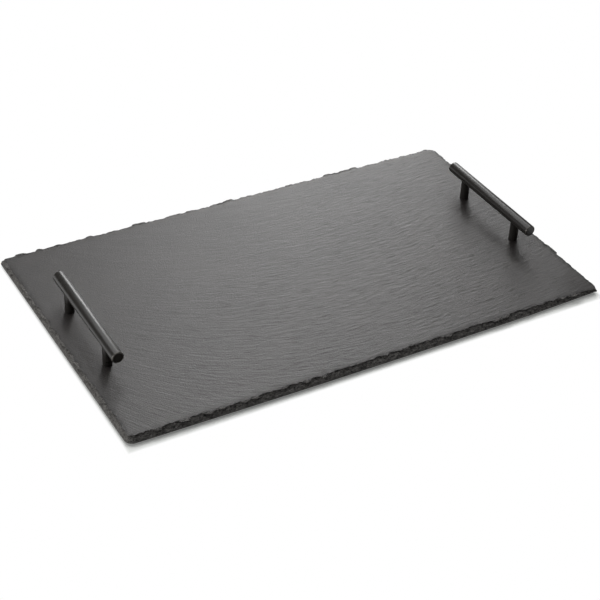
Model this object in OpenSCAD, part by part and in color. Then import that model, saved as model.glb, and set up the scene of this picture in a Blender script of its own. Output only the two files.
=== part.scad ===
// Slate serving board with two T-bar handles, in millimetres.
// The underside of the feet is at z = 0, the slate is centred on the origin, its long side runs along X,
// its front edge faces -Y. Nothing moves: each handle is screwed on from below.

/* [Slate] */
// Length of the slate at its middle, end to end
slate_l = 554; // [420:1:700]
// Width of the slate at its middle, front to back
slate_w = 330; // [260:1:420]
// Thickness of the slate
slate_t = 6; // [5:0.5:10]
// Rounding of the underside's front left corner, seen from above
corner_front_left = 8; // [3:0.5:20]
// Rounding of its front right corner
corner_front_right = 3; // [3:0.5:20]
// Rounding of its back right corner
corner_back_right = 13; // [3:0.5:20]
// Rounding of its back left corner
corner_back_left = 3; // [3:0.5:20]
// How far the front edge bows out at its middle
front_bow = 2; // [0:0.5:5]
// How much further out each end runs at the back corners than at its middle
end_splay = 1; // [0:0.5:3]

/* [Chipped edge] */
// How far the top edge stands back from the underside's edge along the front
bevel_front = 5; // [2:0.5:5.5]
// How far the top edge stands back along the back
bevel_back = 3; // [2:0.5:4.5]
// How far the top edge stands back along the left end
bevel_left = 3.5; // [2:0.5:4.5]
// How far the top edge stands back along the right end
bevel_right = 2; // [2:0.5:4.5]
// Rounding of the top edge's front left corner
rim_front_left = 2; // [2:0.5:12]
// Rounding of its front right corner
rim_front_right = 2; // [2:0.5:12]
// Rounding of its back right corner
rim_back_right = 12; // [2:0.5:12]
// Rounding of its back left corner
rim_back_left = 2; // [2:0.5:12]
// Height of the upright foot of the broken edge
lip_h = 1.5; // [0.8:0.1:2.5]
// Depth of the chips along the top edge
chip_depth = 1.2; // [0.2:0.1:1.4]
// Distance between the broken edge's points
chip_step = 6; // [5:0.5:12]

/* [Handles] */
// Diameter of the bar
bar_d = 12.7; // [11:0.1:16]
// Wall of the bar's tube
bar_wall = 1; // [0.8:0.1:1.5]
// Spacing of a handle's two posts, centre to centre
post_spacing = 96; // [64:1:160]
// How far the bar runs past each post's axis
bar_end = 27; // [21:1:50]
// Diameter of a post
post_d = 10; // [9:0.5:12]
// Height of the bar's axis above the slate
bar_rise = 26.5; // [26:0.5:45]
// Distance from the slate's end to the bar's axis
handle_inset = 30; // [22:1:80]
// How far the hand-drilled handles sit off the middle, the left one forward and the right one back
handle_shift = 3; // [0:0.5:10]

/* [Fixings] */
// Thread diameter of the screws that come up through the slate
screw_d = 4; // [3:0.5:5]
// How far a screw reaches into its post
screw_reach = 8; // [5:0.5:9]
// Diameter of the screw's pan head
head_d = 8; // [7:0.5:9]
// Height of the screw's pan head
head_h = 2.4; // [1.8:0.1:2.8]
// Outer diameter of a washer
washer_d = 12; // [10:0.5:14]
// Thickness of a washer
washer_t = 1; // [0.5:0.1:1.4]
// Depth of the counterbores in the slate's underside
counterbore_depth = 3; // [2.6:0.1:3.8]
// Thread diameter of the studs between the posts and the bars
stud_d = 5; // [4:0.5:6]
// How far a stud reaches down into its post
stud_reach_post = 6; // [4:0.5:7]
// How far a stud reaches up into its slug
stud_reach_slug = 6; // [4:0.5:7]
// Length of a threaded slug inside the bar
slug_l = 14; // [10:0.5:18]
// Length of the plug of an end cap
cap_l = 8; // [4:0.5:11]

/* [Feet] */
// Diameter of a foot where it sticks to the slate
foot_d = 16; // [10:0.5:24]
// Height of a foot
foot_h = 3; // [3:0.5:8]
// Distance from the slate's sides to a foot's centre
foot_inset = 28; // [18:1:44]

/* [Hidden] */
$fn = 48;

LEFT = -1;
RIGHT = 1;
FRONT = -1;
BACK = 1;

SLATE_COLOUR = "#4b4b4a";
BLACK_COLOUR = "#1d1d1d";
STEEL_COLOUR = "#b4b6b8";
RUBBER_COLOUR = "#262626";

// One overrun for every cut that has to break through a face
overrun = 1;
// Radial gap of a screw or stud in its thread, and of a screw in the slate
thread_gap = 0.1;
hole_gap = 0.3;
// Radial gap of the plugs and slugs in the bar, and of the bar in a post's saddle
plug_gap = 0.05;
saddle_gap = 0.05;
// Radial gap of a washer in its counterbore
washer_gap = 0.5;
// Spare depth of a tapped hole past the end of its thread
tap_spare = 1.5;

// Chamfers of the bar's ends, of the caps' faces and of the posts' feet
bar_chamfer = 0.6;
cap_chamfer = 0.5;
post_chamfer = 0.3;

// Threads are rings with a flank depth and a pitch of their own
screw_pitch = 0.7;
stud_pitch = 0.8;
thread_depth = 0.35;

// Cross recess in a screw's head
recess_w = 1;
recess_l = 4.4;
recess_depth = 1.3;
head_dome_r = 6;

// The foot's slope and the rounding of its lower edge
foot_taper = 0.6;
foot_round = 0.8;

// Lengths and heights that several pieces share
bar_l = post_spacing + 2 * bar_end;
slate_top = foot_h + slate_t;
web_t = slate_t - counterbore_depth;
bar_under = bar_rise - bar_d / 2;
bar_bore = bar_d - 2 * bar_wall;
plug_d = bar_bore - 2 * plug_gap;
slug_under = bar_rise - plug_d / 2;
handle_x = slate_l / 2 - handle_inset;

// The broken edge rises in four rings, each set in a share of the bevel, with a share of the chips' depth
corner_points = 4;
mid_height_share = 0.62;
bevel_shares = [0, 0.12, 0.45, 1];
chip_shares = [0, 0.2, 0.5, 1];
ring_heights = [0, lip_h, slate_t * mid_height_share, slate_t];
chip_seed = 71;

// Setbacks of the top edge and radii, for the corners that end the front, right, back and left sides
side_bevels = [bevel_right, bevel_right, bevel_left, bevel_left];
face_bevels = [bevel_front, bevel_back, bevel_back, bevel_front];
corner_rs = [corner_front_right, corner_back_right, corner_back_left, corner_front_left];
rim_rs = [rim_front_right, rim_back_right, rim_back_left, rim_front_left];

// Point of the corner that ends side i, where it faces angle a, on the underside's outline
// if the share is 0 and on the top edge's if it is 1
function corner_point(i, a, share) = let (r = share == 0 ? corner_rs[i % 4] : rim_rs[i % 4]) [
    (i % 4 < 2 ? 1 : -1) * (slate_l / 2 - share * side_bevels[i % 4] - r) + r * cos(a),
    (i % 4 == 1 || i % 4 == 2 ? 1 : -1) * (slate_w / 2 - share * face_bevels[i % 4] - r) + r * sin(a)
];

// Points along side i and round the corner that ends it: each has its place on the underside's
// outline, its place on the top edge's, and the angle that it faces
function side_rim(i) = let (
    facing = 90 * (i - 1),
    starts = [for (share = [0, 1]) corner_point(i + 3, facing, share)],
    ends = [for (share = [0, 1]) corner_point(i, facing, share)],
    count = ceil(norm(ends[0] - starts[0]) / chip_step)
) concat(
    [for (k = [0:count - 1]) let (at = starts + (ends - starts) * k / count) [at[0], at[1], facing]],
    [for (k = [0:corner_points - 1]) let (a = facing + 90 * k / corner_points)
        [corner_point(i, a, 0), corner_point(i, a, 1), a]]
);
rim = [for (i = [0:3]) each side_rim(i)];
rim_count = len(rim);

// The front edge bows and the ends splay: the middle keeps its length and width
function trimmed(p) = let (
    along = 2 * p[0] / slate_l,
    across = 2 * p[1] / slate_w
) [
    p[0] + end_splay * along * across,
    p[1] + (across < 0 ? -across * front_bow * along * along : 0)
];

// One ring of the broken edge: ring 0 is the clean underside, ring 3 the chipped top
function edge_ring(j) = let (chips = rands(-chip_depth, chip_depth, rim_count, chip_seed + j)) [
    for (k = [0:rim_count - 1]) let (
        a = rim[k][2],
        p = trimmed(
            rim[k][0] + bevel_shares[j] * (rim[k][1] - rim[k][0]) - chip_shares[j] * chips[k] * [cos(a), sin(a)]
        )
    ) [p[0], p[1], ring_heights[j]]
];

// Places a handle's own frame: the slate's top under the middle of the bar
module at_handle(side) {
    translate([side * handle_x, side * handle_shift, slate_top])
        children();
}

module at_post(side, end) {
    at_handle(side)
        translate([0, end * post_spacing / 2, 0])
            children();
}

// A rod with ringed threads, standing on z = 0
module threaded_rod(d, l, pitch) {
    rings = floor(l / pitch);
    rotate_extrude()
        polygon(concat(
            [[0, 0]],
            [for (k = [0:rings - 1]) each [
                [d / 2 - thread_depth, k * pitch],
                [d / 2, k * pitch + pitch / 2]
            ]],
            [[d / 2 - thread_depth, rings * pitch], [d / 2 - thread_depth, l], [0, l]]
        ));
}

// Riven slate with a chipped edge, drilled and counterbored from below for the four screws
module slate_board() {
    last = len(bevel_shares) - 1;
    color(SLATE_COLOUR)
        difference() {
            translate([0, 0, foot_h])
                polyhedron(
                    points = [for (j = [0:last]) each edge_ring(j)],
                    faces = concat(
                        [[for (k = [0:rim_count - 1]) k]],
                        [for (j = [0:last - 1], k = [0:rim_count - 1]) let (
                            low = j * rim_count + k,
                            low_next = j * rim_count + (k + 1) % rim_count
                        ) each [
                            [low, low + rim_count, low_next],
                            [low_next, low + rim_count, low_next + rim_count]
                        ]],
                        [[for (k = [rim_count - 1:-1:0]) last * rim_count + k]]
                    )
                );
            for (side = [LEFT, RIGHT], end = [FRONT, BACK])
                at_post(side, end) {
                    translate([0, 0, -slate_t - overrun])
                        cylinder(d = screw_d + 2 * hole_gap, h = slate_t + 2 * overrun);
                    translate([0, 0, -slate_t - overrun])
                        cylinder(d = washer_d + 2 * washer_gap, h = counterbore_depth + overrun);
                }
        }
}

// Steel tube with chamfered ends and two holes underneath for the studs
module bar(side) {
    color(BLACK_COLOUR)
        at_handle(side)
            translate([0, 0, bar_rise])
                difference() {
                    rotate([90, 0, 0])
                        rotate_extrude()
                            polygon([
                                [bar_bore / 2, -bar_l / 2],
                                [bar_d / 2 - bar_chamfer, -bar_l / 2],
                                [bar_d / 2, -bar_l / 2 + bar_chamfer],
                                [bar_d / 2, bar_l / 2 - bar_chamfer],
                                [bar_d / 2 - bar_chamfer, bar_l / 2],
                                [bar_bore / 2, bar_l / 2]
                            ]);
                    for (end = [FRONT, BACK])
                        translate([0, end * post_spacing / 2, -bar_d])
                            cylinder(d = stud_d + 2 * hole_gap, h = bar_d);
                }
}

// Plug pressed into an end of the bar, flush with the tube and chamfered round its face
module cap(side, end) {
    color(BLACK_COLOUR)
        at_handle(side)
            translate([0, end * bar_l / 2, bar_rise])
                rotate([end * 90, 0, 0])
                    rotate_extrude()
                        polygon([
                            [0, 0],
                            [plug_d / 2 - cap_chamfer, 0],
                            [plug_d / 2, cap_chamfer],
                            [plug_d / 2, cap_l],
                            [0, cap_l]
                        ]);
}

// Slug inside the bar, tapped from below for the stud
module slug(side, end) {
    color(STEEL_COLOUR)
        at_post(side, end)
            difference() {
                translate([0, slug_l / 2, bar_rise])
                    rotate([90, 0, 0])
                        cylinder(d = plug_d, h = slug_l);
                translate([0, 0, slug_under - overrun])
                    cylinder(d = stud_d + 2 * thread_gap, h = overrun + stud_reach_slug + tap_spare);
            }
}

// Stud that draws the post's saddle against the bar
module stud(side, end) {
    color(STEEL_COLOUR)
        at_post(side, end)
            translate([0, 0, bar_under - stud_reach_post])
                threaded_rod(stud_d, stud_reach_post + slug_under - bar_under + stud_reach_slug, stud_pitch);
}

// Round post: chamfered foot, saddle for the bar, tapped at both ends
module post(side, end) {
    color(BLACK_COLOUR)
        at_post(side, end)
            difference() {
                rotate_extrude()
                    polygon([
                        [0, 0],
                        [post_d / 2 - post_chamfer, 0],
                        [post_d / 2, post_chamfer],
                        [post_d / 2, bar_rise],
                        [0, bar_rise]
                    ]);
                translate([0, post_d, bar_rise])
                    rotate([90, 0, 0])
                        cylinder(d = bar_d + 2 * saddle_gap, h = 2 * post_d);
                translate([0, 0, -overrun])
                    cylinder(d = screw_d + 2 * thread_gap, h = overrun + screw_reach + tap_spare);
                translate([0, 0, bar_under - stud_reach_post - tap_spare])
                    cylinder(d = stud_d + 2 * thread_gap, h = stud_reach_post + tap_spare + overrun);
            }
}

// Pan-head screw that comes up through the washer and the slate into the post
module screw(side, end) {
    color(STEEL_COLOUR)
        at_post(side, end)
            translate([0, 0, -web_t - washer_t]) {
                threaded_rod(screw_d, washer_t + web_t + screw_reach, screw_pitch);
                difference() {
                    intersection() {
                        translate([0, 0, -head_h])
                            cylinder(d = head_d, h = head_h);
                        translate([0, 0, head_dome_r - head_h])
                            sphere(r = head_dome_r);
                    }
                    for (turn = [0, 90])
                        rotate([0, 0, turn])
                            translate([-recess_l / 2, -recess_w / 2, -head_h - overrun])
                                cube([recess_l, recess_w, recess_depth + overrun]);
                }
            }
}

// Washer that spreads the screw's pull on the floor of the counterbore
module washer(side, end) {
    color(STEEL_COLOUR)
        at_post(side, end)
            translate([0, 0, -web_t - washer_t])
                difference() {
                    cylinder(d = washer_d, h = washer_t);
                    translate([0, 0, -overrun])
                        cylinder(d = screw_d + 2 * hole_gap, h = washer_t + 2 * overrun);
                }
}

// Round rubber foot stuck under a corner, a little narrower where it stands
module foot(side, end) {
    stand_r = foot_d / 2 - foot_taper;
    color(RUBBER_COLOUR)
        translate([side * (slate_l / 2 - foot_inset), end * (slate_w / 2 - foot_inset), 0])
            rotate_extrude()
                polygon(concat(
                    [[0, 0]],
                    [for (a = [0:15:75]) [
                        stand_r - foot_round * (1 - sin(a)),
                        foot_round * (1 - cos(a))
                    ]],
                    [[foot_d / 2, foot_h], [0, foot_h]]
                ));
}

slate_board();
bar(LEFT);  // left_bar
cap(LEFT, FRONT);  // left_front_cap
cap(LEFT, BACK);  // left_back_cap
slug(LEFT, FRONT);  // left_front_slug
slug(LEFT, BACK);  // left_back_slug
stud(LEFT, FRONT);  // left_front_stud
stud(LEFT, BACK);  // left_back_stud
post(LEFT, FRONT);  // left_front_post
post(LEFT, BACK);  // left_back_post
screw(LEFT, FRONT);  // left_front_screw
screw(LEFT, BACK);  // left_back_screw
washer(LEFT, FRONT);  // left_front_washer
washer(LEFT, BACK);  // left_back_washer
bar(RIGHT);  // right_bar
cap(RIGHT, FRONT);  // right_front_cap
cap(RIGHT, BACK);  // right_back_cap
slug(RIGHT, FRONT);  // right_front_slug
slug(RIGHT, BACK);  // right_back_slug
stud(RIGHT, FRONT);  // right_front_stud
stud(RIGHT, BACK);  // right_back_stud
post(RIGHT, FRONT);  // right_front_post
post(RIGHT, BACK);  // right_back_post
screw(RIGHT, FRONT);  // right_front_screw
screw(RIGHT, BACK);  // right_back_screw
washer(RIGHT, FRONT);  // right_front_washer
washer(RIGHT, BACK);  // right_back_washer
foot(LEFT, FRONT);  // front_left_foot
foot(RIGHT, FRONT);  // front_right_foot
foot(LEFT, BACK);  // back_left_foot
foot(RIGHT, BACK);  // back_right_foot
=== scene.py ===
from math import cos, exp, hypot, pi, radians, sin, sqrt

import bmesh
import bpy
from mathutils import Matrix, Vector, noise


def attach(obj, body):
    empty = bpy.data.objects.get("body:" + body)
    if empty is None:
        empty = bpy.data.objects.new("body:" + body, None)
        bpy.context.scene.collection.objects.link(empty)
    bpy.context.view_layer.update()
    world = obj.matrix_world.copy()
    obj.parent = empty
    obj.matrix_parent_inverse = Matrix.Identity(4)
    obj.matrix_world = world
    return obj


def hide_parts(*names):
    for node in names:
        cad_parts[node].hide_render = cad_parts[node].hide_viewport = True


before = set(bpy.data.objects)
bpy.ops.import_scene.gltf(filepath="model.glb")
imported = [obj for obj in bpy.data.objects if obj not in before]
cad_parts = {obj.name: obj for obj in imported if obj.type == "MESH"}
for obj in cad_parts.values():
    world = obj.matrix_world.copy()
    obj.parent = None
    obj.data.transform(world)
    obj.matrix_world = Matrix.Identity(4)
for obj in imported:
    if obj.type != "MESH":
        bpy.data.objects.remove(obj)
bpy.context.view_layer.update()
stage = bpy.context.scene


# Camera
# A long lens looks down on the board from beyond its front left corner, turned a little on its axis.
# The slate's four edges, the bars' ends and the posts' feet in the photo fix its place.
LENS_MM = 89.69
LOOK_RIGHT = radians(31.361)
LOOK_DOWN = radians(36.178)
LEAN = radians(3.226)
EYE = Vector((-0.6819, -1.1194, 0.9321))
forward = Vector((sin(LOOK_RIGHT) * cos(LOOK_DOWN), cos(LOOK_RIGHT) * cos(LOOK_DOWN), -sin(LOOK_DOWN)))
level = Vector((cos(LOOK_RIGHT), -sin(LOOK_RIGHT), 0))
upward = level.cross(forward)
across = level * cos(LEAN) + upward * sin(LEAN)
upward = upward * cos(LEAN) - level * sin(LEAN)
lens = bpy.data.cameras.new("product_lens")
lens.sensor_width = 36
lens.lens = LENS_MM
lens.clip_start = 0.01
lens.clip_end = 50
camera = bpy.data.objects.new("product_camera", lens)
stage.collection.objects.link(camera)
camera.matrix_world = Matrix.Translation(EYE) @ Matrix((across, upward, -forward)).transposed().to_4x4()
stage.camera = camera
stage.view_settings.view_transform = "Standard"


# Studio
# A white sweep of paper carries the board. A wide cloth hangs overhead and gives the plain light. Soft
# boxes stand in a half circle behind the board, the brightest to the right of its middle, so that the
# slate and the bars catch their sheen, and a pale card lights the left side.
SWEEP_RADIUS = 5.0
PAPER = "#e6e6e4"
PAPER_EXPOSED = "#f7f9f6"
PAPER_HAZE = "#616261"
WHITE = "#ffffff"
SHADOWED = (0.273, 0.165, 0)
FADE_START = 0.0025
FADE_END = 0.0068
ROOM = "#505050"


def linear(hex_colour):
    """An sRGB hex colour as Blender's linear one."""
    shares = [int(hex_colour[i:i + 2], 16) / 255 for i in (1, 3, 5)]
    return [s / 12.92 if s <= 0.04045 else ((s + 0.055) / 1.055) ** 2.4 for s in shares] + [1]


def node(tree, kind, settings=None, **inputs):
    """Adds a node. Settings are its own values; inputs, by socket name or as i0, i1, are values or links."""
    made = tree.nodes.new(kind)
    for key, value in (settings or {}).items():
        setattr(made, key, value)
    for key, value in inputs.items():
        by_number = key[0] == "i" and key[1:].isdigit()
        socket = made.inputs[int(key[1:]) if by_number else key.replace("_", " ")]
        if isinstance(value, bpy.types.NodeSocket):
            tree.links.new(value, socket)
        else:
            socket.default_value = value
    return made


def maths(tree, operation, *values):
    """The result of a Math node on one to three values, which are numbers or links."""
    sockets = {f"i{n}": value for n, value in enumerate(values)}
    return node(tree, "ShaderNodeMath", {"operation": operation}, **sockets).outputs[0]


def ramp(tree, value, start, end, low=0, high=1, kind="LINEAR"):
    """Runs from low to high while the value runs from start to end, and stays level outside them."""
    made = node(tree, "ShaderNodeMapRange", {"interpolation_type": kind}, Value=value, From_Min=start,
                From_Max=end, To_Min=low, To_Max=high)
    return made.outputs[0]


def blank_material(name):
    """A material whose node tree is empty but for its output."""
    made = bpy.data.materials.new(name)
    made.use_nodes = True
    made.node_tree.nodes.clear()
    return made, made.node_tree, made.node_tree.nodes.new("ShaderNodeOutputMaterial")


# The paper is plain matt white. For the camera and for reflections it is exposed to white, as in the
# photo, but for a narrow strip round the board that takes its shadow, which the light hazes a little. Its
# underside lets the camera through.
paper, tree, out = blank_material("white_paper_sweep")
path = node(tree, "ShaderNodeLightPath").outputs
mirrored = maths(tree, "MAXIMUM", path["Is Glossy Ray"], path["Is Transmission Ray"])
seen = maths(tree, "MAXIMUM", path["Is Camera Ray"], mirrored)
matt = node(tree, "ShaderNodeBsdfDiffuse", Color=linear(PAPER))
exposed = node(tree, "ShaderNodeBsdfDiffuse", Color=linear(PAPER_EXPOSED))
haze = node(tree, "ShaderNodeEmission", Color=linear(PAPER_HAZE), Strength=1)
exposed = node(tree, "ShaderNodeAddShader", i0=exposed.outputs[0], i1=haze.outputs[0])
white = node(tree, "ShaderNodeEmission", Color=linear(WHITE), Strength=1)
place = node(tree, "ShaderNodeTexCoord").outputs["Object"]
away = node(tree, "ShaderNodeVectorMath", {"operation": "ABSOLUTE"}, i0=place)
away = node(tree, "ShaderNodeVectorMath", {"operation": "SUBTRACT"}, i0=away.outputs[0], i1=SHADOWED)
away = node(tree, "ShaderNodeSeparateXYZ", Vector=away.outputs[0])
away = maths(tree, "MAXIMUM", away.outputs["X"], away.outputs["Y"])
fade = ramp(tree, away, FADE_START, FADE_END, kind="SMOOTHSTEP")
fade = maths(tree, "MAXIMUM", fade, mirrored)
shown = node(tree, "ShaderNodeMixShader", i0=fade, i1=exposed.outputs[0], i2=white.outputs[0])
both = node(tree, "ShaderNodeMixShader", i0=seen, i1=matt.outputs[0], i2=shown.outputs[0])
under = node(tree, "ShaderNodeNewGeometry").outputs["Backfacing"]
under = maths(tree, "MULTIPLY", under, path["Is Camera Ray"])
clear = node(tree, "ShaderNodeBsdfTransparent")
whole_sweep = node(tree, "ShaderNodeMixShader", i0=under, i1=both.outputs[0], i2=clear.outputs[0])
tree.links.new(whole_sweep.outputs[0], out.inputs["Surface"])

shape = bmesh.new()
bmesh.ops.create_circle(shape, cap_ends=True, segments=96, radius=SWEEP_RADIUS)
sweep_mesh = bpy.data.meshes.new("paper_sweep")
shape.to_mesh(sweep_mesh)
shape.free()
sweep_mesh.materials.append(paper)
sweep = bpy.data.objects.new("paper_sweep", sweep_mesh)
stage.collection.objects.link(sweep)

# The room round the sweep is nearly dark.
room = bpy.data.worlds.new("studio_room")
stage.world = room
room.use_nodes = True
tree = room.node_tree
tree.nodes.clear()
out = tree.nodes.new("ShaderNodeOutputWorld")
glow = node(tree, "ShaderNodeBackground", Color=linear(ROOM), Strength=1)
tree.links.new(glow.outputs[0], out.inputs["Surface"])


# Every lamp stands this far from the board.
LAMP_DISTANCE = 4


def soft_box(name, azimuth, elevation, width, height, radiance):
    """A soft box that faces the board, seen from it that many degrees right of +Y and above the paper."""
    lamp = bpy.data.lights.new(name, "AREA")
    lamp.shape = "RECTANGLE"
    lamp.size = width
    lamp.size_y = height
    lamp.energy = radiance * width * height * pi
    flat = LAMP_DISTANCE * cos(radians(elevation))
    holder = bpy.data.objects.new(name, lamp)
    holder.location = (flat * sin(radians(azimuth)), flat * cos(radians(azimuth)),
                       LAMP_DISTANCE * sin(radians(elevation)))
    holder.rotation_mode = "QUATERNION"
    holder.rotation_quaternion = (-holder.location).to_track_quat("-Z", "Y")
    holder.visible_camera = False
    stage.collection.objects.link(holder)


soft_box("overhead_cloth", 0, 90, 3.65, 3.65, 0.76)
soft_box("back_low_box", 33.5, 8.5, 0.62, 0.77, 4.7)
soft_box("back_box", 33.5, 19.5, 0.59, 0.77, 7)
soft_box("back_left_strip", 24.5, 14, 0.61, 1.55, 2.8)
soft_box("back_right_strip", 43, 14, 0.58, 1.55, 1.5)
soft_box("back_middle_box", 30, 32.5, 0.59, 1.05, 9.4)
soft_box("back_right_box", 40, 32.5, 0.59, 1.05, 0.8)
soft_box("back_fill_box", 17.5, 32.5, 0.89, 1.05, 0.3)
soft_box("back_high_box", 30, 52.5, 2.81, 1.77, 2.8)
soft_box("back_left_high_box", -30, 53.5, 2.68, 1.48, 2.5)
soft_box("left_strip", -42, 43, 1.58, 0.49, 1.5)
soft_box("left_box", -82, 8.5, 1.5, 1.0, 7)
soft_box("left_card", -87.5, 24, 4.66, 3.07, 0.5)


# Slate board
# One sheet of natural roofing slate about 6 mm thick, split by hand along its cleavage, so that its top
# is riven in long faint ripples. Its edge is broken back with hammer and chisel to scalloped chips, and
# the underside is sawn flat and has four counterbores for the handles' screws.
LENGTH = 0.554
WIDTH = 0.330
UNDER = 0.003
TOP = 0.009
THICK = TOP - UNDER
FRONT_BOW = 0.002
END_SPLAY = 0.001
BEVEL_FRONT = 0.005
BEVEL_BACK = 0.003
BEVEL_LEFT = 0.0035
BEVEL_RIGHT = 0.002
UNDER_CORNERS = {(-1, -1): 0.008, (1, -1): 0.002, (1, 1): 0.013, (-1, 1): 0.003}
RIM_CORNERS = {(-1, -1): 0.002, (1, -1): 0.002, (1, 1): 0.012, (-1, 1): 0.002}
MESH_STEP = 0.0016
HANDLE_X = 0.247
HANDLE_SHIFT = 0.003
POST_HALF = 0.048
POST_SPOTS = [(side * HANDLE_X, side * HANDLE_SHIFT + end * POST_HALF) for side in (-1, 1) for end in (-1, 1)]
BORE_R = 0.0065
BORE_DEEP = 0.003
HOLE_R = 0.0023

# The ripples run along the board with a slight slant, and swing forward at its left end.
SWING_DEEP = 0.01
SWING_FROM = 0.02
SWING_REACH = 0.1
SLANT = 0.055
SLANT_GAIN = 0.15
SWELL_HIGH = 0.00005
SWELL_ACROSS = 0.03
SWELL_ALONG = 0.12
FINE_SWELL_HIGH = 0.00004
FINE_SWELL_ACROSS = 0.008
FINE_SWELL_ALONG = 0.05
TOP_SINK = 0.00007


def ripple(x, y, wave_across, wave_along, seed):
    """Noise drawn out along the cleavage's ripples."""
    swing = y - SWING_DEEP * exp(-(x - SWING_FROM) / SWING_REACH) - x * (SLANT + SLANT_GAIN * x)
    return noise.noise(Vector((x / wave_along, swing / wave_across, seed)))


def grain(p, wave, seed):
    """Noise of the same wavelength every way, from about -0.5 to 0.5."""
    return noise.noise(Vector((p.x / wave, p.y / wave, seed)))


def scallop(p, wave, seed):
    """Smooth bites that meet in sharp points, from 0 to 1."""
    return min(abs(grain(p, wave, seed)) * 2.2, 1)


def trimmed(x, y):
    """The front edge bows out at its middle and the ends splay, as the real one was cut."""
    along, over = 2 * x / LENGTH, 2 * y / WIDTH
    bow = -over * FRONT_BOW * along * along if over < 0 else 0
    return Vector((x + END_SPLAY * along * over, y + bow, 0))


def rounded_in(x, y, radii, half_x, half_y):
    """A point of a square-cornered sheet, drawn into the rounded corner next to it, and the way it faces."""
    sx, sy = (1 if x > 0 else -1), (1 if y > 0 else -1)
    r = radii[sx, sy]
    u, w = (abs(x) - (half_x - r)) / r, (abs(y) - (half_y - r)) / r
    if u > 0 and w > 0:
        u, w = u * sqrt(1 - w * w / 2), w * sqrt(1 - u * u / 2)
        spot = Vector((sx * (half_x - r + u * r), sy * (half_y - r + w * r), 0))
        return spot, Vector((sx * u, sy * w, 0)).normalized()
    facing = Vector((0, sy, 0)) if abs(y) - half_y > abs(x) - half_x else Vector((sx, 0, 0))
    return Vector((x, y, 0)), facing


def drawn_out(mesh, edges):
    """Draws new faces from a loop of edges. Gives the new loop's points and edges, and the faces."""
    made = bmesh.ops.extrude_edge_only(mesh, edges=edges)["geom"]
    points = [g for g in made if isinstance(g, bmesh.types.BMVert)]
    own = set(points)
    loop = [g for g in made if isinstance(g, bmesh.types.BMEdge) and all(v in own for v in g.verts)]
    return points, loop, [g for g in made if isinstance(g, bmesh.types.BMFace)]


sheet_l = LENGTH - BEVEL_LEFT - BEVEL_RIGHT
sheet_w = WIDTH - BEVEL_FRONT - BEVEL_BACK
sheet_x = (BEVEL_LEFT - BEVEL_RIGHT) / 2
sheet_y = (BEVEL_FRONT - BEVEL_BACK) / 2
board = bmesh.new()
bmesh.ops.create_grid(board, x_segments=round(sheet_l / MESH_STEP),
                      y_segments=round(sheet_w / MESH_STEP), size=0.5)
bmesh.ops.scale(board, vec=(sheet_l, sheet_w, 1), verts=board.verts)
bmesh.ops.translate(board, vec=(sheet_x, sheet_y, TOP), verts=board.verts)

# The rim's points go to the chipped outline, and those near it move along with them. Each keeps its
# place on the underside's outline too, for the broken edge. At the front right corner the chips ran the
# other way: the top runs out to a point and the underside draws back. The back corners are smoother. The
# top stays flat under the posts.
EDGE_REACH = 0.008
POINT_REACH = 0.09
POINT_UNDERCUT = 0.0022
SMOOTH_RIGHT_REACH = 0.03
SMOOTH_LEFT_REACH = 0.08
BITE = 0.014
BITE_DEEP = 0.0015
SMALL_BITE = 0.0055
SMALL_BITE_DEEP = 0.0011
BITE_STANDS_OUT = 0.0009
DROOP = 0.0003
DROOP_WAVE = 0.006
SEAT_R = 0.006
SEAT_FADE = 0.012
wear = board.verts.layers.float.new("edge_wear")
rim = {}
for v in board.verts:
    x, y = v.co.x, v.co.y
    half_x = LENGTH / 2 - (BEVEL_RIGHT if x > 0 else BEVEL_LEFT)
    half_y = WIDTH / 2 - (BEVEL_BACK if y > 0 else BEVEL_FRONT)
    near_rim = max(0, 1 - min(half_x - abs(x), half_y - abs(y)) / EDGE_REACH)
    spot, facing = rounded_in(x, y, RIM_CORNERS, half_x, half_y)
    wide_x, wide_y = x * LENGTH / 2 / half_x, y * WIDTH / 2 / half_y
    base, _ = rounded_in(wide_x, wide_y, UNDER_CORNERS, LENGTH / 2, WIDTH / 2)
    point = max(0, 1 - hypot(x - half_x, y + half_y) / POINT_REACH)
    spot = spot + (base - spot) * 0.5 * point
    smooth_right = 1 - hypot(x - half_x, y - half_y) / SMOOTH_RIGHT_REACH
    smooth_left = 1 - hypot(x + half_x, y - half_y) / SMOOTH_LEFT_REACH
    bite = BITE_DEEP * scallop(base, BITE, 1.5) + SMALL_BITE_DEEP * scallop(base, SMALL_BITE, 4.5)
    bite = (bite - BITE_STANDS_OUT) * (1 - 0.8 * max(0, smooth_right, smooth_left)) * (1 - 0.5 * point)
    flat = trimmed(spot.x, spot.y) - facing * bite * near_rim ** 2
    if v.is_boundary:
        rim[v] = (base, flat, facing, POINT_UNDERCUT * point * max(0, -facing.y))
    from_post = min(hypot(flat.x - px, flat.y - py) for px, py in POST_SPOTS)
    open_top = min(1, max(from_post - SEAT_R, 0) / SEAT_FADE)
    swell = SWELL_HIGH * ripple(x, y, SWELL_ACROSS, SWELL_ALONG, 2.5)
    swell += FINE_SWELL_HIGH * ripple(x, y, FINE_SWELL_ACROSS, FINE_SWELL_ALONG, 7.5)
    droop = DROOP * near_rim ** 3 * (1 + grain(base, DROOP_WAVE, 9.5))
    v.co = Vector((flat.x, flat.y, TOP + (swell - TOP_SINK) * open_top - droop))
    v[wear] = near_rim ** 4
for f in board.faces:
    f.smooth = True

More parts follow.
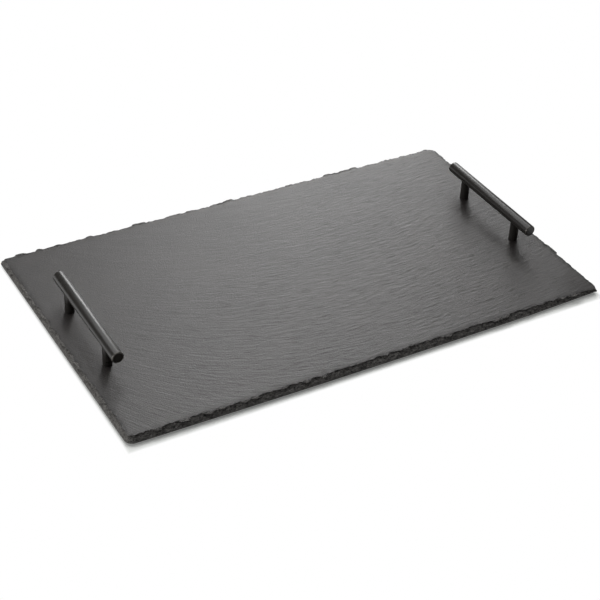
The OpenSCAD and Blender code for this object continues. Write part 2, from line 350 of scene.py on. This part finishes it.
# The broken edge goes down to the underside in rings: a thin lip, a ledge that stands out where a flake
# has come off above it, the hollow under it, then the rough face. The shares are the ring's height and
# its setback; then come its ledge, the depth of its chips and how far it wavers up and down. Each ring
# has its own chips, so that the facets don't line up.
RINGS = [
    (0.95, 1.00, 0, 0, 0),
    (0.90, 1.00, 0.0028, 0, 0.0001),
    (0.83, 1.10, 0.0018, 0.0012, 0.0002),
    (0.70, 0.84, 0.0008, 0.0014, 0.0004),
    (0.54, 0.56, 0, 0.0014, 0.0005),
    (0.38, 0.32, 0, 0.0012, 0.0005),
    (0.22, 0.13, 0, 0.0009, 0.0004),
    (0.09, 0.03, 0, 0.0004, 0.0002),
    (0, 0, 0, 0, 0),
]
CHIP = 0.008
CRUMB = 0.0026
LEDGE_WAVE = 0.013
WAVER_WAVE = 0.004
LONG_WAVER_WAVE = 0.011
ring = [e for e in board.edges if e.is_boundary]
edge_faces = []
for i, (height_share, inset_share, ledge, chips, waver) in enumerate(RINGS):
    points, ring, faces = drawn_out(board, ring)
    edge_faces += faces
    upper, rim = rim, {}
    for v in points:
        rim[v] = upper[next(o for e in v.link_edges for o in e.verts if o is not v and o in upper)]
    for v, (base, top_flat, facing, undercut) in rim.items():
        outline = trimmed(base.x, base.y)
        foot = outline - facing * undercut
        chip = chips * (scallop(base, CHIP, 20.5 + i) + 0.8 * grain(base, CRUMB, 40.5 + i) - 0.4)
        ledge_out = ledge * min(max(grain(base, LEDGE_WAVE, 5.5) * 5 - 0.5, 0), 1)
        flat = foot + (top_flat - foot) * inset_share + facing * (ledge_out - chip)
        if (flat - outline).dot(facing) > 0:
            flat -= facing * (flat - outline).dot(facing)
        rise = waver * (grain(base, WAVER_WAVE, 60.5 + i) + grain(base, LONG_WAVER_WAVE, 80.5 + i))
        v.co = Vector((flat.x, flat.y, UNDER + THICK * height_share + rise))

# Flakes off the top leave the sheet thin at the front right corner.
THIN_REACH = 0.055
THIN_SHARE = 0.42
for v in board.verts:
    thin = max(0, 1 - hypot(v.co.x - LENGTH / 2, v.co.y + WIDTH / 2) / THIN_REACH) ** 2
    v.co.z = UNDER + (v.co.z - UNDER) * (1 - THIN_SHARE * thin)
for f in edge_faces:
    f.material_index = 1
    f.smooth = False
    for e in f.edges:
        e.smooth = False

# The underside closes round the four counterbores; each has a floor and a drilled hole to the top.
BORE_SEGMENTS = 40
OPENED_R = 0.0034
underside = list(ring)
for px, py in POST_SPOTS:
    at = Matrix.Translation((px, py, UNDER))
    mouth = bmesh.ops.create_circle(board, segments=BORE_SEGMENTS, radius=BORE_R, matrix=at)["verts"]
    circle = list(dict.fromkeys(e for v in mouth for e in v.link_edges))
    underside += circle
    points, loop, _ = drawn_out(board, circle)
    bmesh.ops.translate(board, vec=(0, 0, BORE_DEEP), verts=points)
    points, loop, _ = drawn_out(board, loop)
    bmesh.ops.scale(board, vec=(HOLE_R / BORE_R, HOLE_R / BORE_R, 1), verts=points,
                    space=Matrix.Translation((-px, -py, 0)))
    points, loop, _ = drawn_out(board, loop)
    bmesh.ops.translate(board, vec=(0, 0, THICK - BORE_DEEP), verts=points)
    covered = [f for f in board.faces if f.material_index == 0 and f.normal.z > 0.5
               and (f.calc_center_median() - Vector((px, py, TOP))).length < OPENED_R]
    border = dict.fromkeys(e for f in covered for e in f.edges)
    bmesh.ops.delete(board, geom=covered, context="FACES")
    border = [e for e in border if e.is_valid and e.is_boundary]
    bmesh.ops.triangle_fill(board, edges=border + loop, use_beauty=True, normal=(0, 0, 1))
bmesh.ops.triangle_fill(board, edges=underside, use_beauty=True, normal=(0, 0, -1))
bmesh.ops.recalc_face_normals(board, faces=board.faces)
board_mesh = bpy.data.meshes.new("riven_slate_board")
board.to_mesh(board_mesh)
board.free()

# Riven slate: dark grey, matt to satin. The cleavage face shows long fine ripples and a silky sheen
# against the light, and a fine grain everywhere.
SLATE_DARK = "#1f1c1b"
SLATE_PALE = "#34302e"
SLATE_BRUISED = "#1d1c1b"
RIPPLE = 0.0034
WANDER = 0.006
RELIEF_HIGH = 0.00027


def between(tree, share, first, second):
    """A colour part of the way from the first to the second, which are hex colours or links."""
    ends = [linear(c) if isinstance(c, str) else c for c in (first, second)]
    return node(tree, "ShaderNodeMix", {"data_type": "RGBA"}, i0=share, i6=ends[0], i7=ends[1]).outputs[2]


slate, tree, out = blank_material("riven_slate")
place = node(tree, "ShaderNodeTexCoord").outputs["Object"]
split = node(tree, "ShaderNodeSeparateXYZ", Vector=place)
along, over = split.outputs["X"], split.outputs["Y"]
swing = maths(tree, "MULTIPLY_ADD", along, -1 / SWING_REACH, SWING_FROM / SWING_REACH)
swing = maths(tree, "EXPONENT", swing)
swing = maths(tree, "MULTIPLY_ADD", swing, -SWING_DEEP, over)
slant = maths(tree, "MULTIPLY_ADD", along, -SLANT_GAIN, -SLANT)
swing = maths(tree, "MULTIPLY_ADD", slant, along, swing)
run = node(tree, "ShaderNodeCombineXYZ", X=along, Y=swing)
wander = node(tree, "ShaderNodeTexNoise", {"noise_dimensions": "2D"}, Vector=place, Scale=30, Detail=3)
shift = node(tree, "ShaderNodeVectorMath", {"operation": "MULTIPLY_ADD"}, i0=wander.outputs["Color"],
             i1=(WANDER, WANDER, 0), i2=run.outputs[0])
long_map = node(tree, "ShaderNodeMapping", Vector=shift.outputs[0], Scale=(1 / RIPPLE / 6.5, 1 / RIPPLE, 1))
ripples = node(tree, "ShaderNodeTexNoise", {"noise_dimensions": "2D"}, Vector=long_map.outputs[0], Scale=1,
               Detail=4, Roughness=0.6)

# Short dark steps where a cleavage layer ends.
dash_map = node(tree, "ShaderNodeMapping", Vector=shift.outputs[0], Location=(3.1, 7.7, 0),
                Scale=(1 / RIPPLE / 5, 1.4 / RIPPLE, 1))
dashes = node(tree, "ShaderNodeTexNoise", {"noise_dimensions": "2D"}, Vector=dash_map.outputs[0], Scale=1,
              Detail=2)
dashes = ramp(tree, dashes.outputs["Fac"], 0.28, 0.42, 1, 0)
fine = node(tree, "ShaderNodeTexNoise", Vector=place, Scale=700, Detail=3, Roughness=0.65)
patches = node(tree, "ShaderNodeTexNoise", Vector=place, Scale=9, Detail=3, Roughness=0.6)

# The ripples fade out towards the back left corner, where the sheet split almost smooth and shows its
# grain, and all of the relief is lower at both ends of the board.
to_front = maths(tree, "SUBTRACT", maths(tree, "MULTIPLY", along, 0.6), over)
calm = ramp(tree, to_front, -0.2, 0.05, 0.3, 1.55, "SMOOTHSTEP")
grains = maths(tree, "MULTIPLY", fine.outputs["Fac"], 1.15)
relief = maths(tree, "MULTIPLY_ADD", ripples.outputs["Fac"], calm, grains)
to_end = maths(tree, "ABSOLUTE", maths(tree, "SUBTRACT", along, 0.04))
relief = maths(tree, "MULTIPLY", relief, ramp(tree, to_end, 0.09, 0.25, 1, 0.6))
bump = node(tree, "ShaderNodeBump", Height=relief, Strength=1, Distance=RELIEF_HIGH)
mottle = maths(tree, "MULTIPLY_ADD", fine.outputs["Fac"], 1.5, patches.outputs["Fac"])
tone = between(tree, ramp(tree, mottle, 0.85, 1.65), SLATE_DARK, SLATE_PALE)

# Next to the broken edge the face is bruised: darker and duller in spots.
edge_wear = node(tree, "ShaderNodeAttribute", {"attribute_name": "edge_wear"}).outputs["Fac"]
bruise = node(tree, "ShaderNodeTexNoise", Vector=place, Scale=330, Detail=3, Roughness=0.6)
bruise = maths(tree, "MULTIPLY", ramp(tree, bruise.outputs["Fac"], 0.42, 0.6), edge_wear)
tone = between(tree, bruise, tone, SLATE_BRUISED)
dull = maths(tree, "MULTIPLY_ADD", bruise, 0.25, 0.38)
sheen = maths(tree, "MULTIPLY_ADD", maths(tree, "MULTIPLY", dashes, calm), -0.1, 0.44)
shader = node(tree, "ShaderNodeBsdfPrincipled", Base_Color=tone, Roughness=dull, Specular_IOR_Level=sheen,
              Normal=bump.outputs[0])
tree.links.new(shader.outputs[0], out.inputs["Surface"])

# Broken slate: the hammered edge is rough and crumbly. Its crumbs are about a millimetre across, some
# dark and some powdery where they were bruised, and bedded in thin layers.
BROKEN_DARK = "#1a1918"
BROKEN_POWDERY = "#6c6a67"
# Painted light for the left end's broken edge.
LEFT_END_PAINTED_LIGHT = "#8f8c88"
CRUMBS_HIGH = 0.0011
broken, tree, out = blank_material("broken_slate_edge")
place = node(tree, "ShaderNodeTexCoord").outputs["Object"]
layer_map = node(tree, "ShaderNodeMapping", Vector=place, Scale=(1, 1, 1.8))
layers = node(tree, "ShaderNodeTexNoise", Vector=layer_map.outputs[0], Scale=260, Detail=4, Roughness=0.7)
crumbs = node(tree, "ShaderNodeTexVoronoi", Vector=layer_map.outputs[0], Scale=620)
crumb_tone = node(tree, "ShaderNodeSeparateColor", Color=crumbs.outputs["Color"])
relief = maths(tree, "MULTIPLY_ADD", crumbs.outputs["Distance"], -0.9, layers.outputs["Fac"])
bump = node(tree, "ShaderNodeBump", Height=relief, Strength=1, Distance=CRUMBS_HIGH)
tone = maths(tree, "MULTIPLY_ADD", crumb_tone.outputs[0], 0.35, layers.outputs["Fac"])
tone = between(tree, ramp(tree, tone, 0.42, 0.95), BROKEN_DARK, BROKEN_POWDERY)

# Painted light: the broken edge at the left end is painted paler, for the light that falls on it from the
# left.
split = node(tree, "ShaderNodeSeparateXYZ", Vector=place)
left_light_share = ramp(tree, split.outputs["X"], -0.268, -0.273, 0, 0.24)
tone = between(tree, left_light_share, tone, LEFT_END_PAINTED_LIGHT)
shader = node(tree, "ShaderNodeBsdfPrincipled", Base_Color=tone, Roughness=0.62, Specular_IOR_Level=0.32,
              Normal=bump.outputs[0])
tree.links.new(shader.outputs[0], out.inputs["Surface"])

board_mesh.materials.append(slate)
board_mesh.materials.append(broken)
slate_board = bpy.data.objects.new("riven_slate_board", board_mesh)
stage.collection.objects.link(slate_board)
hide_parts("slate_board")
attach(slate_board, "root")


# Handle bars
# Each bar is a steel tube 12.7 mm across and 150 mm long, its ends turned off square with a small round,
# powder coated satin black. Its axis is 26.5 mm above the slate, on two posts. The rounds carry a painted
# highlight: a paler, part metal copy of the coat that shines bright there.
BAR_RISE = 0.0265
BAR_Z = TOP + BAR_RISE
BAR_R = 0.00635
BAR_BORE_R = 0.00535
BAR_HALF = 0.075
ROUND = 0.0009
COAT_DARK = "#272523"
COAT_PALE = "#2a2825"
# Painted highlight on the bars' end rounds.
ROUND_HIGHLIGHT_DARK = "#5c5955"
ROUND_HIGHLIGHT_PALE = "#726f6a"

# Satin black powder coat: a thin baked film that is smooth to the hand, with a very fine orange peel
# (about 0.8 mm) that softens what it reflects.
coat, tree, out = blank_material("satin_black_powder_coat")
place = node(tree, "ShaderNodeTexCoord").outputs["Object"]
peel = node(tree, "ShaderNodeTexNoise", Vector=place, Scale=1200, Detail=2)
cloud = node(tree, "ShaderNodeTexNoise", Vector=place, Scale=60, Detail=3).outputs["Fac"]
gloss = ramp(tree, cloud, 0.3, 0.7, 0.27, 0.29)
bump = node(tree, "ShaderNodeBump", Height=peel.outputs["Fac"], Strength=0.3, Distance=0.000003)
shader = node(tree, "ShaderNodeBsdfPrincipled", Base_Color=between(tree, cloud, COAT_DARK, COAT_PALE),
              Roughness=gloss, Specular_IOR_Level=0.42, Normal=bump.outputs[0])
tree.links.new(shader.outputs[0], out.inputs["Surface"])

# Painted highlight: the same coat made paler and part metal on the rounds of the bars' ends, so that
# they shine bright.
round_highlight_coat, tree, out = blank_material("coat_with_painted_highlight")
place = node(tree, "ShaderNodeTexCoord").outputs["Object"]
highlight_cloud = node(tree, "ShaderNodeTexNoise", Vector=place, Scale=300, Detail=2).outputs["Fac"]
gloss = ramp(tree, highlight_cloud, 0, 1, 0.2, 0.28)
shader = node(tree, "ShaderNodeBsdfPrincipled", Base_Color=between(tree, highlight_cloud, ROUND_HIGHLIGHT_DARK, ROUND_HIGHLIGHT_PALE),
              Roughness=gloss, Metallic=0.6)
tree.links.new(shader.outputs[0], out.inputs["Surface"])


def lathe(points, segments, matrix):
    """Turns a profile of (radius, height) points about the z axis, then puts it in place with matrix."""
    turned = bmesh.new()
    dots = [turned.verts.new((r, 0, h)) for r, h in points]
    edges = [turned.edges.new(pair) for pair in zip(dots, dots[1:])]
    bmesh.ops.spin(turned, geom=dots + edges, cent=(0, 0, 0), axis=(0, 0, 1), angle=2 * pi, steps=segments,
                   use_merge=True)
    bmesh.ops.remove_doubles(turned, verts=turned.verts, dist=1e-6)
    bmesh.ops.recalc_face_normals(turned, faces=turned.faces)
    bmesh.ops.transform(turned, matrix=matrix, verts=turned.verts)
    return turned


def rounded(corner_r, corner_h, r_way, h_way, size):
    """Five points that round a profile's corner; the ways point from the corner along its two sides."""
    return [(corner_r + r_way * size * (1 - sin(a)), corner_h + h_way * size * (1 - cos(a)))
            for a in (0, pi / 8, pi / 4, 3 * pi / 8, pi / 2)]


def finished(turned, name, material, sharp=35):
    """Makes the bmesh a shown piece with smooth shading, but for edges sharper than that many degrees."""
    mesh = bpy.data.meshes.new(name)
    for f in turned.faces:
        f.smooth = True
    for e in turned.edges:
        e.smooth = len(e.link_faces) == 2 and e.calc_face_angle(0) < radians(sharp)
    turned.to_mesh(mesh)
    turned.free()
    mesh.materials.append(material)
    made = bpy.data.objects.new(name, mesh)
    stage.collection.objects.link(made)
    return made


def along_bar(side, end):
    """From the lathe's z axis to a bar's own axis, starting at the middle and running to that end."""
    turn = Matrix.Rotation(radians(-90 * end), 4, "X")
    return Matrix.Translation((side * HANDLE_X, side * HANDLE_SHIFT, BAR_Z)) @ turn


# The rounds at each end take the painted highlight coat, and the flat end faces don't.
END_FACE = 0.00001
for side, name in ((-1, "left"), (1, "right")):
    corner = rounded(BAR_R, -BAR_HALF, -1, 1, ROUND)
    profile = [(BAR_BORE_R, -BAR_HALF)] + corner + [(r, -h) for r, h in reversed(corner)]
    profile += [(BAR_BORE_R, BAR_HALF), (BAR_BORE_R, -BAR_HALF)]
    turned = lathe(profile, 72, along_bar(side, 1))
    for f in turned.faces:
        middle = f.calc_center_median() - Vector((side * HANDLE_X, side * HANDLE_SHIFT, BAR_Z))
        if BAR_HALF - ROUND < abs(middle.y) < BAR_HALF - END_FACE:
            f.material_index = 1
    tube = finished(turned, name + "_bar_tube", coat)
    tube.data.materials.append(round_highlight_coat)
    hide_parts(name + "_bar")
    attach(tube, "root")


# End caps
# A plug is pressed into each end of a bar, flush with it. Its chamfered rim leaves a fine groove inside
# the tube's wall. It is turned from the same steel and coated with the bar.
CAP_R = 0.0053
CAP_DEEP = 0.008
CAP_CHAMFER = 0.0003
for side, side_name in ((-1, "left"), (1, "right")):
    for end, end_name in ((-1, "front"), (1, "back")):
        profile = [(0, BAR_HALF - CAP_DEEP), (CAP_R, BAR_HALF - CAP_DEEP), (CAP_R, BAR_HALF - CAP_CHAMFER),
                   (CAP_R - CAP_CHAMFER, BAR_HALF), (0, BAR_HALF)]
        plug = finished(lathe(profile, 48, along_bar(side, end)), f"{side_name}_{end_name}_end_cap", coat, 25)
        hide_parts(f"{side_name}_{end_name}_cap")
        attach(plug, "root")


# Posts
# Round steel posts, 10 mm across, coated like the bars. The foot has a fine chamfer, and the head is
# milled to a saddle that fits the bar.
POST_R = 0.005
POST_CHAMFER = 0.0003
HEAD_SIDE = 0.020
HEAD_MIDDLE = 0.021
SADDLE_R = 0.0064
for side, side_name in ((-1, "left"), (1, "right")):
    for end, end_name in ((-1, "front"), (1, "back")):
        px, py = side * HANDLE_X, side * HANDLE_SHIFT + end * POST_HALF
        profile = [(0, 0), (POST_R - POST_CHAMFER, 0), (POST_R, POST_CHAMFER), (POST_R, HEAD_SIDE),
                   (POST_R * 0.75, HEAD_MIDDLE), (POST_R * 0.4, HEAD_MIDDLE), (0, HEAD_MIDDLE)]
        leg = lathe(profile, 64, Matrix.Translation((px, py, TOP)))
        for v in leg.verts:
            if v.co.z > TOP + HEAD_SIDE / 2:
                v.co.z = BAR_Z - sqrt(SADDLE_R ** 2 - (v.co.x - px) ** 2)
        post = finished(leg, f"{side_name}_{end_name}_turned_post", coat)
        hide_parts(f"{side_name}_{end_name}_post")
        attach(post, "root")


# Feet
# Four round stick-on rubber feet, moulded with a soft lower edge and a slight hollow in the middle of
# the face that stands on the table.
FOOT_R = 0.008
STAND_R = 0.0074
FOOT_ROUND = 0.0008
HOLLOW = [(0, 0.0003), (0.003, 0.0003), (0.0045, 0.0001), (0.0055, 0)]
FOOT_SPOT = (0.249, 0.137)
RUBBER_DARK = "#222222"
RUBBER_PALE = "#2c2c2c"

# Black rubber: moulded, matt, with a fine grain from the mould.
rubber, tree, out = blank_material("moulded_black_rubber")
place = node(tree, "ShaderNodeTexCoord").outputs["Object"]
mould = node(tree, "ShaderNodeTexNoise", Vector=place, Scale=1500, Detail=3).outputs["Fac"]
bump = node(tree, "ShaderNodeBump", Height=mould, Strength=0.5, Distance=0.00005)
shader = node(tree, "ShaderNodeBsdfPrincipled", Base_Color=between(tree, mould, RUBBER_DARK, RUBBER_PALE),
              Roughness=0.75, IOR=1.52, Normal=bump.outputs[0])
tree.links.new(shader.outputs[0], out.inputs["Surface"])
for side, side_name in ((-1, "left"), (1, "right")):
    for end, end_name in ((-1, "front"), (1, "back")):
        edge = [(STAND_R - FOOT_ROUND * (1 - sin(a)), FOOT_ROUND * (1 - cos(a))) for a in (0, 0.4, 0.8, 1.2)]
        profile = HOLLOW + edge + [(FOOT_R, UNDER), (0, UNDER)]
        at = Matrix.Translation((side * FOOT_SPOT[0], end * FOOT_SPOT[1], 0))
        pad = finished(lathe(profile, 48, at), f"{end_name}_{side_name}_rubber_foot", rubber, 50)
        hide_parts(f"{end_name}_{side_name}_foot")
        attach(pad, "root")


# Screws, washers, studs and slugs
# Bright zinc-plated steel from the fastener shelf. The pan-head screws and washers sit in the slate's
# counterbores, the studs and slugs are out of sight inside the posts and bars.
ZINC_DARK = "#b9bcc0"
ZINC_PALE = "#cfd1d2"

# Bright zinc plate: a thin blue-white metal film over turned steel, slightly cloudy.
zinc, tree, out = blank_material("bright_zinc_plate")
place = node(tree, "ShaderNodeTexCoord").outputs["Object"]
cloud = node(tree, "ShaderNodeTexNoise", Vector=place, Scale=400, Detail=3).outputs["Fac"]
dull = ramp(tree, cloud, 0, 1, 0.25, 0.42)
bump = node(tree, "ShaderNodeBump", Height=cloud, Strength=0.3, Distance=0.00003)
shader = node(tree, "ShaderNodeBsdfPrincipled", Base_Color=between(tree, cloud, ZINC_DARK, ZINC_PALE),
              Metallic=1, Roughness=dull, Normal=bump.outputs[0])
tree.links.new(shader.outputs[0], out.inputs["Surface"])
for name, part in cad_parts.items():
    if name.endswith(("_screw", "_washer", "_stud", "_slug")):
        part.data.materials.clear()
        part.data.materials.append(zinc)
